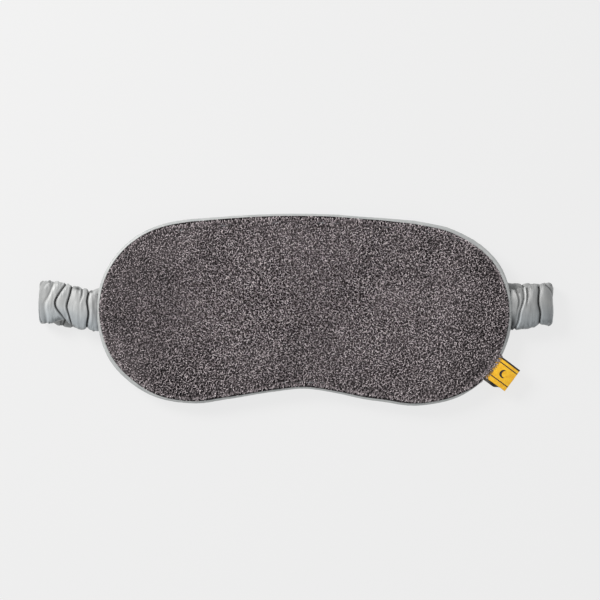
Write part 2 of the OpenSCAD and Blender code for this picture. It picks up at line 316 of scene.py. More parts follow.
def satinMaterial(name, dark, light):
    # Polyester satin weave, long floats lying one way: a soft silver sheen, with painted shade and highlights
    # from the tone attribute, dark down in the pleats
    made, tree = newMaterial(name)
    place = addNode(tree, "TexCoord")
    wave = addNode(tree, "TexWave", {"Scale": 1 / satinLook["thread"] / 20, "Distortion": 1.2, "Detail": 2.0,
                                     "Detail Scale": 2.0, "bands_direction": "DIAGONAL"},
                   {"Vector": place.outputs["Object"]})
    cloud = addNode(tree, "TexNoise", {"Scale": 1 / (7 * mm), "Detail": 4.0, "Roughness": 0.6},
                    {"Vector": place.outputs["Object"]})
    ramp = useRamp(addNode(tree, "ValToRGB", None, {"Fac": cloud.outputs["Fac"]}),
                   [(0.3, dark), (0.7, light)])
    tone = addNode(tree, "Attribute", {"attribute_name": "tone"})
    shaded = addNode(tree, "MixRGB", {"blend_type": "MULTIPLY", "Fac": 1.0},
                     {"Color1": ramp.outputs["Color"], "Color2": tone.outputs["Color"]})
    rough = addNode(tree, "MapRange",
                    {"To Min": satinLook["roughness"] - 0.06, "To Max": satinLook["roughness"] + 0.1},
                    {"Value": cloud.outputs["Fac"]})
    bump = addNode(tree, "Bump", {"Strength": 0.12, "Distance": 0.05 * mm}, {"Height": wave.outputs["Fac"]})
    shader = addNode(tree, "BsdfPrincipled",
                     {"Sheen Weight": 0.15, "Sheen Roughness": 0.35, "Anisotropic": 0.4,
                      "Specular IOR Level": 0.5},
                     {"Base Color": shaded.outputs["Color"], "Roughness": rough.outputs[0],
                      "Normal": bump.outputs["Normal"]})
    addNode(tree, "OutputMaterial", None, {"Surface": shader.outputs[0]})
    return made


def clothMaterial(name, dark, light, pitch, roughness=0.9):
    # Plain matt cloth or fibre: an even grain at the thread's own pitch
    made, tree = newMaterial(name)
    place = addNode(tree, "TexCoord")
    weave = addNode(tree, "TexWave", {"Scale": 1 / pitch / 20, "Distortion": 3.0, "Detail": 2.0},
                    {"Vector": place.outputs["Object"]})
    ramp = useRamp(addNode(tree, "ValToRGB", None, {"Fac": weave.outputs["Fac"]}),
                   [(0.1, dark), (0.9, light)])
    bump = addNode(tree, "Bump", {"Strength": 0.3, "Distance": 0.08 * mm}, {"Height": weave.outputs["Fac"]})
    shader = addNode(tree, "BsdfPrincipled", {"Roughness": roughness, "Sheen Weight": 0.1},
                     {"Base Color": ramp.outputs["Color"], "Normal": bump.outputs["Normal"]})
    addNode(tree, "OutputMaterial", None, {"Surface": shader.outputs[0]})
    return made


terry = terryMaterial()
strapSatin = satinMaterial("gathered polyester satin", "#a4a6a6", "#b8b9b8")
backSatin = satinMaterial("panel satin", "#a3a6a9", "#b4b7b9")
pipingSatin = satinMaterial("bias cut piping satin", "#9c9f9f", "#b2b4b3")


def giveTone(piece, values):  # one tone for each point, plain or tinted
    values = np.asarray(values, float)
    if values.ndim == 2:
        made = piece.data.attributes.new("tone", "FLOAT_COLOR", "POINT")
        made.data.foreach_set("color", np.column_stack([values, np.ones(len(values))]).ravel())
        return
    made = piece.data.attributes.new("tone", "FLOAT", "POINT")
    made.data.foreach_set("value", np.broadcast_to(values, len(piece.data.vertices)).astype(float))


cordCotton = clothMaterial("twisted cotton cord", "#cfcbc0", "#ece9e1", 0.8 * mm)
elasticCloth = clothMaterial("braided elastic", "#c9c8c2", "#e6e5e0", 0.9 * mm)
print("materials made")


# ---- pad: a stuffed form inflated as cloth, then cut at the seam into terry face and satin back

pad = {"rim": 2.9 * mm, "fullInset": 24 * mm, "crown": 4.7 * mm, "belly": 3.5 * mm, "lip": 0.9 * mm,
       "voxel": 2.4 * mm, "pinned": 4.2 * mm, "pressure": 5.0, "slack": -0.012, "cap": 1.3 * mm,
       "frames": 18, "overLiner": 0.4 * mm, "underWadding": 0.35 * mm}
# Soft hollows in the face where the filling gives: x, y, length, width, turn in degrees and depth
hollows = [(-74, 22, 16, 9, 60, 1.0), (-46, 34, 12, 7, 20, 0.7), (9, 22, 24, 5, 86, 0.9),
           (52, 10, 18, 9, 140, 0.7),
           (-20, -14, 20, 9, 165, 0.5), (74, -18, 14, 8, 40, 0.6), (-66, -24, 15, 8, 120, 0.6)]


def padProfile():
    rings = []
    for height, rise in ((pad["lip"], pad["crown"] - pad["lip"]), (-pad["lip"], pad["lip"] - pad["belly"])):
        side = [(pad["rim"] + (pad["fullInset"] - pad["rim"]) * (1 - math.cos(a)),
                 height + rise * math.sin(a))
                for a in np.linspace(math.pi / 2, 0, 9)]
        rings += side if rise > 0 else side[::-1]
    return rings


def inflate(piece):  # stuffing pushes the cloth out between its sewn edges
    before = readPoints(piece)
    inset, _ = insetOf(before[:, 0], before[:, 1])
    group = piece.vertex_groups.new(name="sewn")
    group.add([int(i) for i in np.flatnonzero(inset < pad["pinned"])], 1.0, "REPLACE")
    cloth = piece.modifiers.new("Cloth", "CLOTH")
    cloth.settings.vertex_group_mass = "sewn"
    cloth.settings.quality = 6
    cloth.settings.mass = 0.15
    cloth.settings.tension_stiffness = 12
    cloth.settings.compression_stiffness = 12
    cloth.settings.bending_stiffness = 0.15
    cloth.settings.shrink_min = pad["slack"]
    cloth.settings.use_pressure = True
    cloth.settings.uniform_pressure_force = pad["pressure"]
    cloth.settings.effector_weights.gravity = 0
    scene = bpy.context.scene
    for step in range(1, pad["frames"] + 1):
        scene.frame_set(step)
    makeActive(piece)
    bpy.ops.object.modifier_apply(modifier="Cloth")
    scene.frame_set(1)
    moved = readPoints(piece) - before
    far = np.linalg.norm(moved, axis=1, keepdims=True)
    print("cloth moved at most", round(float(far.max()) / mm, 2), "mm")
    writePoints(piece, before + moved * np.minimum(1, pad["cap"] / np.maximum(far, 1e-9)))


def cutAtSeam(piece, name, keepAbove):
    half = bpy.data.objects.new(name, piece.data.copy())
    bpy.context.collection.objects.link(half)
    makeActive(half)
    bpy.ops.object.mode_set(mode="EDIT")
    bpy.ops.mesh.select_all(action="SELECT")
    bpy.ops.mesh.bisect(plane_co=(0, 0, seamZ), plane_no=(0, 0, 1), use_fill=True,
                        clear_inner=keepAbove, clear_outer=not keepAbove)
    bpy.ops.object.mode_set(mode="OBJECT")
    outwards(half)
    half.data.polygons.foreach_set("use_smooth", [True] * len(half.data.polygons))
    return half


def keepClear(points, chosen, node, side, gap):  # cloth never sinks into the layer it covers
    tree = meshTree(frame["nodes"][node].data)
    for number in chosen:
        x, y, z = points[number]
        hit, _, _, _ = tree.ray_cast(Vector((x, y, seamZ + side * 0.03)), Vector((0, 0, -side)))
        if hit is not None:
            points[number, 2] = side * max(side * z, side * hit.z + gap)


def dentFace(piece):
    points = readPoints(piece)
    face = smoothStep(seamZ + 2 * mm, seamZ + 3.5 * mm, points[:, 2])
    for x, y, length, width, turn, depth in hollows:
        c, s = math.cos(math.radians(turn)), math.sin(math.radians(turn))
        dx, dy = points[:, 0] - x * mm, points[:, 1] - y * mm
        along, across = (c * dx + s * dy) / (length * mm), (c * dy - s * dx) / (width * mm)
        points[:, 2] -= face * depth * mm * np.exp(-along ** 2 - across ** 2)
    roll = softNoise(points[:, 0] / (19 * mm), points[:, 1] / (19 * mm))
    points[:, 2] += face * 0.5 * mm * roll
    keepClear(points, np.flatnonzero(face > 0), "blackout_liner", 1, pad["overLiner"])
    writePoints(piece, points)


def puckerBack(piece):
    points = readPoints(piece)
    inset, near = insetOf(points[:, 0], points[:, 1])
    angle = near / len(denseEdge) * 2 * math.pi
    waves = softNoise(np.cos(angle) * 13, np.sin(angle) * 13, 3.7, 2)
    depth = 0.7 * mm * waves * np.exp(-((inset - 6 * mm) / (5 * mm)) ** 2)
    under = smoothStep(seamZ - 0.6 * mm, seamZ - 2 * mm, points[:, 2])
    roll = softNoise(points[:, 0] / (24 * mm), points[:, 1] / (15 * mm), 8.2)
    points[:, 2] += under * (depth + 0.3 * mm * roll)
    keepClear(points, np.flatnonzero(points[:, 2] < seamZ - 0.2 * mm), "wadding", -1, pad["underWadding"])
    points[:, 2] = np.maximum(points[:, 2], padFloor)
    writePoints(piece, points)


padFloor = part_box("back_panel")[0].z
stuffed = loftPiece("stuffed", padProfile(), 200)
stuffed.data.remesh_voxel_size = pad["voxel"]
makeActive(stuffed)
bpy.ops.object.voxel_remesh()
inflate(stuffed)
applyModifier(stuffed, "SUBSURF", levels=1, render_levels=1)
terryFace = cutAtSeam(stuffed, "terry_face", True)
satinBack = cutAtSeam(stuffed, "satin_back", False)
bpy.data.objects.remove(stuffed)
dentFace(terryFace)
puckerBack(satinBack)
for piece in (terryFace, satinBack):
    writePoints(piece, strayPoints(readPoints(piece)))
giveMaterial(terryFace, terry)
giveMaterial(satinBack, backSatin)
# The face's ground cloth is toned near black: painted shade in the hollows between the loops
giveTone(terryFace, 0.05)
giveTone(satinBack, 1.0)
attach(terryFace, "pad")
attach(satinBack, "pad")
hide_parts("front_panel")
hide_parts("back_panel")
print("pad made:", len(terryFace.data.vertices), "points on the face")


def tubePiece(name, points, material=None, tones=None):  # closed tube from rings of points
    rows, cols = points.shape[:2]
    flat = points.reshape(-1, 3)
    ends = np.array([points[0].mean(0), points[-1].mean(0)])
    faces = gridFaces(rows, cols)
    first, last = len(flat), (rows - 1) * cols
    faces += [(first, (i + 1) % cols, i) for i in range(cols)]
    faces += [(first + 1, last + i, last + (i + 1) % cols) for i in range(cols)]
    piece = meshPiece(name, np.vstack([flat, ends]), faces)
    if tones is not None:
        listed = tones.reshape(len(flat), -1)
        giveTone(piece, np.vstack([listed, listed[:1], listed[-1:]]).squeeze())
    outwards(piece)
    giveMaterial(piece, material or strapSatin)
    return piece


# ---- where the label sits on the seam

flip = next(j for j in frame["joints"] if j["name"] == "label_flip")


def labelLine():  # the hinge, the way out across the seam and the root on the piping's edge
    hinge = Vector(flip["pos_m"])
    outward = Vector((-flip["axis"][1], flip["axis"][0], 0)).normalized()
    if outward.dot(hinge) < 0:
        outward = -outward
    centre = hinge - outward * hingeU(hinge, outward)
    return hinge, outward, centre


def hingeU(hinge, outward):  # the hinge line's distance out from the piping's edge
    inset, _ = insetOf(np.array([hinge.x]), np.array([hinge.y]))
    return -float(inset[0])


hinge, outward, labelRoot = labelLine()
tangent = Vector((-outward.y, outward.x, 0))
flap = [v.co for v in frame["nodes"]["woven_label"].data.vertices]
tipReach = max((co - labelRoot).dot(outward) for co in flap)
tipZ = min(co.z for co in flap if (co - labelRoot).dot(outward) > tipReach - 0.5 * mm) + 0.35 * mm - seamZ


# ---- terry pile: thousands of small yarn loops, each leaning its own way

pile = {"pitch": 0.86 * mm, "yarn": 0.2 * mm, "width": (0.6 * mm, 1.15 * mm),
        "height": (0.75 * mm, 1.25 * mm),
        "lean": 0.6 * mm, "twist": 0.7, "sunk": 0.3 * mm, "steps": 5, "sides": 3, "shades": (0.18, 1.12),
        "rimFade": 4.2 * mm, "rimRows": (0.4, 0.9), "rimStep": 0.7 * mm, "reach": 2.7 * mm}
# How much of the piping shows past the terry: x, y, how far that holds and the width seen, in mm
shows = [(-2, 50, 45, 1.25), (-79, 42, 20, 1.5), (-105, 10, 20, 1.6), (-92, -31, 18, 2.0),
         (-61, -47, 20, 1.3),
         (-2, -39, 30, 1.1), (49, -46, 22, 1.3), (93, -34, 7, 0.3), (101, -23, 6, 1.7), (106, -5, 12, 1.8),
         (94, 35, 16, 2.4), (64, 45, 16, 1.9)]
# Painted light and shade on the pile, lighter where the face is lit and darker where it lies in shade: x, y,
# reach along x and y in mm, and by how much
toneSpots = [(-82, 4, 30, 40, -0.22), (-30, 8, 22, 40, 0.09), (7, -2, 14, 34, -0.13), (40, 4, 26, 30, 0.03),
             (-56, -36, 30, 12, 0.04)]
rootRows = (0.1, 0.6, 1.2, 1.8, 2.4, 3.0, 3.6)  # rows of loops over the label's root, in from the edge in mm


def pilePlaces(rng):  # jittered rows over the face, then rows along the rim
    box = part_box("front_panel")
    places = []
    row = 0
    y = box[0].y - pile["pitch"]
    while y < box[1].y + pile["pitch"]:
        x = box[0].x - pile["pitch"] * (1 + (row % 2) / 2)
        while x < box[1].x + pile["pitch"]:
            places.append((x + rng.uniform(-0.45, 0.45) * pile["pitch"],
                           y + rng.uniform(-0.45, 0.45) * pile["pitch"]))
            x += pile["pitch"]
        y += pile["pitch"] * 0.9
        row += 1
    places = np.array(places)
    inset, _ = insetOf(places[:, 0], places[:, 1])
    places = [places[inset > pad["rim"] + 0.35 * mm]]
    for more in pile["rimRows"]:
        edge = edgeLine(int(5.3 * maskHalf / pile["rimStep"]))
        away = np.array([pad["rim"] + (more + rng.uniform(-0.2, 0.2)) * mm for _ in edge])
        places.append(edge[:, :2] - edge[:, 2:] * away[:, None])
    return np.vstack(places)


def showing(x, y):  # the width of piping seen past the terry at a place on the edge
    total, weight = 0, 0
    for placeX, placeY, reach, width in shows:
        share = np.exp(-((x - placeX * mm) ** 2 + (y - placeY * mm) ** 2) / (reach * mm) ** 2) + 1e-9
        total, weight = total + share * width * mm, weight + share
    return total / weight


def rimCloth():  # the terry's bare ground cloth, drawn down into the seam beside the piping and toned black as a painted shadow line between terry and piping
    edge = edgeLine(900)
    rings = []
    for x, y, nx, ny in edge:
        shown = float(showing(x, y))
        rise = math.sqrt(max(pipeR ** 2 - (pipeR - shown) ** 2, 0))
        section = [(shown, rise + 0.1 * mm), (shown + 0.45 * mm, rise + 0.4 * mm),
                   (pad["rim"] + 0.6 * mm, 1.95 * mm), (pad["rim"] + 0.6 * mm, 1.3 * mm),
                   (shown + 0.5 * mm, min(rise, 1.0 * mm))]
        rings.append([(x - d * nx, y - d * ny, seamZ + z) for d, z in section])
    points = strayPoints(np.array(rings).reshape(-1, 3))
    piece = meshPiece("face_rim", points, gridFaces(len(edge), 5, wrapRows=True))
    outwards(piece)
    # Toned black: the painted shadow line beside the piping
    giveTone(piece, 0.0)
    giveMaterial(piece, terry)
    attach(piece, "pad")


def lobeBend(v):  # how far the lobe's edge falls back at a distance along it
    return outline["lobeR"] - math.sqrt(outline["lobeR"] ** 2 - v ** 2)


def rootPlaces(rng):  # loops rolled over the label's root: where they stand and which way is up
    radius = pipeR + 0.8 * mm
    found = []
    for inset in rootRows:
        v = -6.9
        while v < 6.9:
            away = pipeR - (inset + rng.uniform(-0.3, 0.3)) * mm
            rise = math.sqrt(max(radius ** 2 - away ** 2, 0))
            spot = labelRoot + tangent * (v + rng.uniform(-0.3, 0.3)) * mm + outward * (away - pipeR)
            spot = spot - outward * lobeBend(v * mm)
            upward = (outward * away + Vector((0, 0, rise))).normalized()
            found.append((Vector((spot.x, spot.y, seamZ + rise)), upward))
            v += 0.6
    return found


def rootRoll():  # the face cloth rolled over the label's root, under those loops, toned near black as painted shade between them
    rings = []
    for v in np.linspace(-7.0, 7.0, 15):
        bend = lobeBend(v * mm)
        line = []
        for radius, angles in ((pipeR + 0.85 * mm, np.linspace(20, 165, 14)),
                               (pipeR + 0.6 * mm, np.linspace(165, 20, 14))):
            for a in np.radians(angles):
                spot = labelRoot + tangent * v * mm + outward * (radius * math.cos(a) - pipeR - bend)
                line.append((spot.x, spot.y, seamZ + radius * math.sin(a)))
        rings.append(line)
    piece = tubePiece("face_root_roll", np.array(rings), terry, tones=np.full((15, 28), 0.1))
    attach(piece, "pad")


# Painted light and shade: the pile's tone raised or lowered at the spots listed in toneSpots
def spotLightAndShade(x, y):
    return 1 + sum(more * math.exp(-((x / mm - spotX) / wide) ** 2 - ((y / mm - spotY) / tall) ** 2)
                   for spotX, spotY, wide, tall, more in toneSpots)


def makePile(seed):
    rng = random.Random(seed)
    flat = pilePlaces(rng)
    places = strayPoints(flat)
    tree = meshTree(terryFace.data)
    inset, near = insetOf(flat[:, 0], flat[:, 1])
    overs = pile["reach"] - showing(flat[:, 0], flat[:, 1])
    overs = overs * smoothStep(pad["rim"] + pile["rimFade"], pad["rim"], inset)
    stands = []
    for number, (x, y) in enumerate(places):
        hit, normal, _, _ = tree.ray_cast(Vector((x, y, seamZ + 0.03)), Vector((0, 0, -1)))
        if hit is not None:
            out = denseEdge[near[number], 2:] * overs[number]  # the rim's loops lie out over the piping
            stands.append((hit, normal, (*out, 0.0), 1.0))
    stands += [(hit, normal, tuple(outward * 0.1 * mm), 0.85) for hit, normal in rootPlaces(rng)]
    steps, sides = pile["steps"], pile["sides"]
    t = np.linspace(0, 1, steps)
    arch = np.sin(math.pi * t)
    ring = [2 * math.pi * k / sides for k in range(sides)]
    points, faces, tones = [], [], []
    for hit, normal, out, dim in stands:
        turn = rng.uniform(0, 2 * math.pi)
        width = rng.uniform(*pile["width"])
        height = rng.uniform(*pile["height"])
        lean = rng.uniform(-1, 1) * pile["lean"]
        curl = rng.uniform(-0.25, 0.25) * width
        twist = rng.uniform(-1, 1) * pile["twist"] * width
        yarn = pile["yarn"] * rng.uniform(0.85, 1.15)
        shade = rng.uniform(*pile["shades"]) * dim * spotLightAndShade(hit.x, hit.y)
        n = np.array(normal)
        side = np.cross(n, (math.cos(turn), math.sin(turn), 0.0))
        side /= np.linalg.norm(side)
        front = np.cross(side, n)
        forward = -np.cos(math.pi * t) * width / 2 + curl * np.sin(2 * math.pi * t)
        middle = (np.array(hit) + np.outer(forward, front)
                  + np.outer(lean * arch + twist * (t - 0.5), side) + np.outer(arch, out)
                  + np.outer(height * arch ** 0.75 - pile["sunk"], n))
        along = np.gradient(middle, axis=0)
        along /= np.linalg.norm(along, axis=1, keepdims=True)
        a = np.cross(along, side)
        a /= np.linalg.norm(a, axis=1, keepdims=True)
        b = np.cross(along, a)
        base = len(points)
        for k in range(steps):
            for angle in ring:
                points.append(middle[k] + yarn * (math.cos(angle) * a[k] + math.sin(angle) * b[k]))
                # Painted shade: each loop darkens towards its feet, down in the pile
                tones.append(shade * arch[k] ** 1.5)
        for k in range(steps - 1):
            for c in range(sides):
                p, q = base + k * sides + c, base + k * sides + (c + 1) % sides
                faces.append((p, q, q + sides, p + sides))
        faces.append(tuple(base + c for c in reversed(range(sides))))
        faces.append(tuple(base + (steps - 1) * sides + c for c in range(sides)))
    return points, faces, tones


def pilePiece(name, points, faces, tones):
    piece = meshPiece(name, points, faces)
    giveTone(piece, tones)
    giveMaterial(piece, terry)
    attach(piece, "pad")
    return piece


rootRoll()
rimCloth()
points, faces, tones = makePile(11)
perLoop = pile["steps"] * pile["sides"]
perFaces = (pile["steps"] - 1) * pile["sides"] + 2
loops = len(points) // perLoop
parts = ("pile_cheeks", "pile_lower", "pile_middle", "pile_upper", "pile_brow")
bounds = [loops * i // len(parts) for i in range(len(parts) + 1)]
for name, first, last in zip(parts, bounds, bounds[1:]):
    start = first * perLoop
    pilePiece(name, points[start:last * perLoop],
              [tuple(i - start for i in f) for f in faces[first * perFaces:last * perFaces]],
              tones[start:last * perLoop])
print("pile made:", loops, "loops")


# ---- piping: bias satin drawn round a cord, with small slanting pulls

piping = {"stations": 1500, "sides": 18, "pull": 0.09 * mm, "slant": 0.9, "wander": 0.12 * mm,
          "cordR": 1.05 * mm, "cordTurns": 90, "cordSides": 12}


def makePiping():
    edge = edgeLine(piping["stations"])
    points = []
    for i, (x, y, nx, ny) in enumerate(edge):
        far = i / piping["stations"] * 2 * math.pi
        wander = noise.noise(Vector((math.cos(far) * 9, math.sin(far) * 9, 1.3))) * piping["wander"]
        for k in range(piping["sides"]):
            a = 2 * math.pi * k / piping["sides"]
            spot = Vector((math.cos(far) * 60 + piping["slant"] * math.cos(a),
                           math.sin(far) * 60 + piping["slant"] * math.sin(a), 4.1))
            pull = noise.fractal(spot, 1.0, 2.0, 3)
            r = pipeR - piping["pull"] * (0.6 + pull) + (0 if math.cos(a) > 0.9 else wander * 0.4)
            u = r * math.cos(a) - pipeR
            points.append((x + u * nx, y + u * ny, seamZ + r * math.sin(a)))
    piece = meshPiece("piping", strayPoints(points),
                      gridFaces(piping["stations"], piping["sides"], wrapRows=True))
    outwards(piece)
    giveTone(piece, 1.0)
    giveMaterial(piece, pipingSatin)
    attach(piece, "pad")
    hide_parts("piping_cover")
    return piece


def makeCord():  # the cord inside: two strands twisted together
    edge = edgeLine(piping["stations"])
    sides = piping["cordSides"]
    points = []
    for i, (x, y, nx, ny) in enumerate(edge):
        turn = 2 * math.pi * piping["cordTurns"] * i / len(edge)
        for k in range(sides):
            a = 2 * math.pi * k / sides
            r = piping["cordR"] * (0.84 + 0.16 * abs(math.cos(a - turn)))
            u = r * math.cos(a) - pipeR
            points.append((x + u * nx, y + u * ny, seamZ + r * math.sin(a)))
    piece = meshPiece("cord", strayPoints(points), gridFaces(len(edge), sides, wrapRows=True))
    outwards(piece)
    giveMaterial(piece, cordCotton)
    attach(piece, "pad")
    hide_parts("piping_cord")


makePiping()
makeCord()
print("piping made")


# ---- strap: one gathered satin tube round a flat elastic, in three stretches

# Painted light and shade in the strap keys: shade darkens the creases and tucks, leftTone and rightTone paint
# the right strap darker than the left as it lies across the light, nearLift paints light beside the piping,
# lipOut and lipWidth place a painted highlight beside each crease, lowShade and lowTint paint a bluish shade
# towards the lower edge
strap = {"width": 20.4 * mm, "core": 1.3 * mm, "puff": 1.0 * mm, "groove": 0.6 * mm, "grooveWidth": 0.42 * mm,
         "soften": 1.5 * mm, "lean": 0.55, "ruffle": 0.32 * mm, "step": 0.25 * mm, "round": 88,
         "elasticHalf": 0.4 * mm, "shade": 0.95, "leftTone": 0.89, "rightTone": 0.66, "arch": 0.9 * mm,
         "nearLift": 0.3, "lipOut": 0.9 * mm, "lipWidth": 0.38 * mm, "lowShade": 0.14,
         "lowTint": (-0.35, 0.05, 0.4), "elasticWidth": 18 * mm, "cadWidth": 22 * mm}
# Creases on the face side of each strap: distance out from the mask at the lower edge, middle and upper edge,
# how deep it is, the share of the width where it is open, from the lower edge to the upper, how much painted
# shade lies on the cloth beyond it and how bright the painted highlight on the lip beside it
leftCreases = [(0.7, 0.7, 0.6, 0.2, 0.3, 0.8, 0, 0), (4.0, 3.9, 4.0, 1.6, 0.0, 1.0, 0, 0.2),
               (7.9, 7.6, 7.3, 0.8, 0.72, 1.0, 0, 0.2), (12.6, 14.5, 12.0, 1.5, 0.0, 1.0, 0, 0.3),
               (15.7, 20.2, 15.6, 1.35, 0.0, 1.0, 0, 0.3), (25.2, 25.0, 21.4, 0.3, 0.0, 1.0, 0.24, 0.3)]
rightCreases = [(0.4, 2.4, 1.9, 0.7, 0.4, 1.0, 0, 0.2), (0.9, 4.1, 5.2, 0.75, 0.0, 1.0, 0, 0.9),
                (6.4, 6.8, 7.3, 0.8, 0.62, 1.0, 0, 0.1), (13.8, 13.0, 12.6, 1.3, 0.0, 1.0, 0, 0.25),
                (22.0, 19.8, 15.9, 0.7, 0.45, 1.0, 0, 0.2)]
backEdges = [(19.0, 12.0, 0.0, -3.8)]  # the same, with the distance from the run's left end
# Hollows where the gathers fall in, pushed in and darkened with painted shade: distance out, place across
# from -1 to 1, reach of each and how deep
leftTucks = [(9.3, 0.93, 1.6, 0.07, 0.9), (2.3, 0.97, 0.9, 0.06, 0.8), (19.0, -0.97, 4.0, 0.10, 0.35)]
rightTucks = [(0.5, -0.70, 1.1, 0.42, 0.95), (2.6, 0.88, 1.0, 0.08, 0.6), (18.8, 0.92, 0.7, 0.07, 0.9)]
# Where the lower and upper edges draw in or spread: distance out, reach and the two shifts, in mm
leftEdges = [(17.0, 4.5, 2.8, 0.6), (-1.0, 8.0, -0.3, -1.7), (26.0, 3.0, 0.0, -0.3)]
rightEdges = [(3.0, 4.0, 0.3, -0.5), (14.0, 1.5, 0.7, -0.2), (18.0, 3.0, 0.4, 0.2)]


def sectionShape(width, half, count):  # flat oval, evenly stepped, as (across, up)
    a = np.linspace(0, 2 * math.pi, 720, endpoint=False)
    y = width / 2 * np.sign(np.cos(a)) * np.abs(np.cos(a)) ** 0.55
    z = half * np.sign(np.sin(a)) * np.abs(np.sin(a)) ** 0.8
    loop = np.vstack([np.column_stack([y, z]), [y[0], z[0]]])
    far = lengthsAlong(loop)
    wanted = np.arange(count) * far[-1] / count
    return np.column_stack([np.interp(wanted, far, loop[:, 0]), np.interp(wanted, far, loop[:, 1])])


def sectionGrid(s):  # length, place across, height and normal at each point of the casing
    shape = sectionShape(strap["width"], strap["core"], strap["round"])
    normals = np.roll(shape, -1, axis=0) - np.roll(shape, 1, axis=0)
    normals = np.column_stack([normals[:, 1], -normals[:, 0]])
    normals /= np.linalg.norm(normals, axis=1, keepdims=True)
    far, number = np.meshgrid(s, np.arange(strap["round"]), indexing="ij")
    return far, *shape[number].transpose(2, 0, 1), *normals[number].transpose(2, 0, 1)


def creaseField(s, across, upper, creases, seed):  # how far the cloth puffs out, from 0 in a crease to 1
    rng = random.Random(seed)
    closed, groove, glint, dim = [np.zeros_like(s) for _ in range(4)]
    eta = across / (strap["width"] / 2)
    for low, mid, high, depth, start, end, beyond, lip in creases:
        wobble = rng.uniform(-1.2, 1.2) * mm
        straight = (low + high) / 2 + (high - low) / 2 * eta
        bowed = straight + (mid - (low + high) / 2) * (1 - eta ** 2)
        line = np.where(upper, bowed, straight + wobble * (1 - eta ** 2))
        line = line + 0.35 * mm * np.sin(eta * 5 + rng.uniform(0, 6))
        share = (eta + 1) / 2
        fade = np.ones_like(s)
        if start > 0:
            fade = smoothStep(start - 0.2, start + 0.15, share)
        if end < 1:
            fade = fade * smoothStep(end + 0.2, end - 0.15, share)
        gap = np.abs(s - line)
        closed = np.maximum(closed, fade * min(depth, 1) * np.exp(-gap / strap["soften"]))
        groove = np.maximum(groove, fade * depth * np.exp(-(gap / strap["grooveWidth"]) ** 2))
        past = np.where(beyond > 0, line - s, s - line)  # the painted highlight on the lit lip beside the crease
        glint = np.maximum(glint, fade * lip * np.exp(-((past - strap["lipOut"]) / strap["lipWidth"]) ** 2))
        # Painted shade on the cloth beyond the crease
        dim = np.maximum(dim, beyond * upper * smoothStep(-0.3 * mm, 0.5 * mm, s - line))
    return 1 - closed, groove, glint, dim


def sidePath(outerX):  # centre line in (outward, up) from under the rim to the foot of the turn
    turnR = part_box("left_strap_casing")[1].z / 2
    middleR = turnR - strapHalf
    turnU = outerX - turnR - maskHalf
    runZ = 2 * turnR - strapHalf - seamZ
    knots = [(-5.0 * mm, -1.2 * mm), (-3.6 * mm, -1.2 * mm), (-2.4 * mm, -2.3 * mm), (-1.2 * mm, -2.4 * mm),
             (-0.5 * mm, -1.2 * mm), (-0.1 * mm, runZ - 0.2 * mm), (1.0 * mm, runZ), (turnU, runZ)]
    arcPart = [(turnU + middleR * math.sin(a), runZ - middleR + middleR * math.cos(a))
               for a in np.linspace(0, math.pi, 60)[1:]]
    line = np.vstack([cutCorners(knots, 3), arcPart])
    far = lengthsAlong(line)
    count = int(far[-1] / strap["step"]) + 1
    wanted = np.linspace(0, far[-1], count)
    u, z = np.interp(wanted, far, line[:, 0]), np.interp(wanted, far, line[:, 1])
    du, dz = np.gradient(u), np.gradient(z)
    size = np.hypot(du, dz)
    return wanted, u, z, du / size, dz / size, turnU


strapHalf = (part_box("back_strap_casing")[1].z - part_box("back_strap_casing")[0].z) / 2


def outToLength(path, u):  # length along the strap at a distance out from the mask
    s, us = path[0], path[1]
    upTo = int(np.argmax(us))
    return np.interp(u, us[:upTo + 1], s[:upTo + 1])


def drawEdges(y, eta, out, edges):  # the edges draw in or spread along the way
    for place, reach, lower, higher in edges:
        share = np.exp(-((out - place * mm) / (reach * mm)) ** 2)
        y = y + mm * share * (lower * np.clip(-eta, 0, 1) + higher * np.clip(eta, 0, 1))
    return y


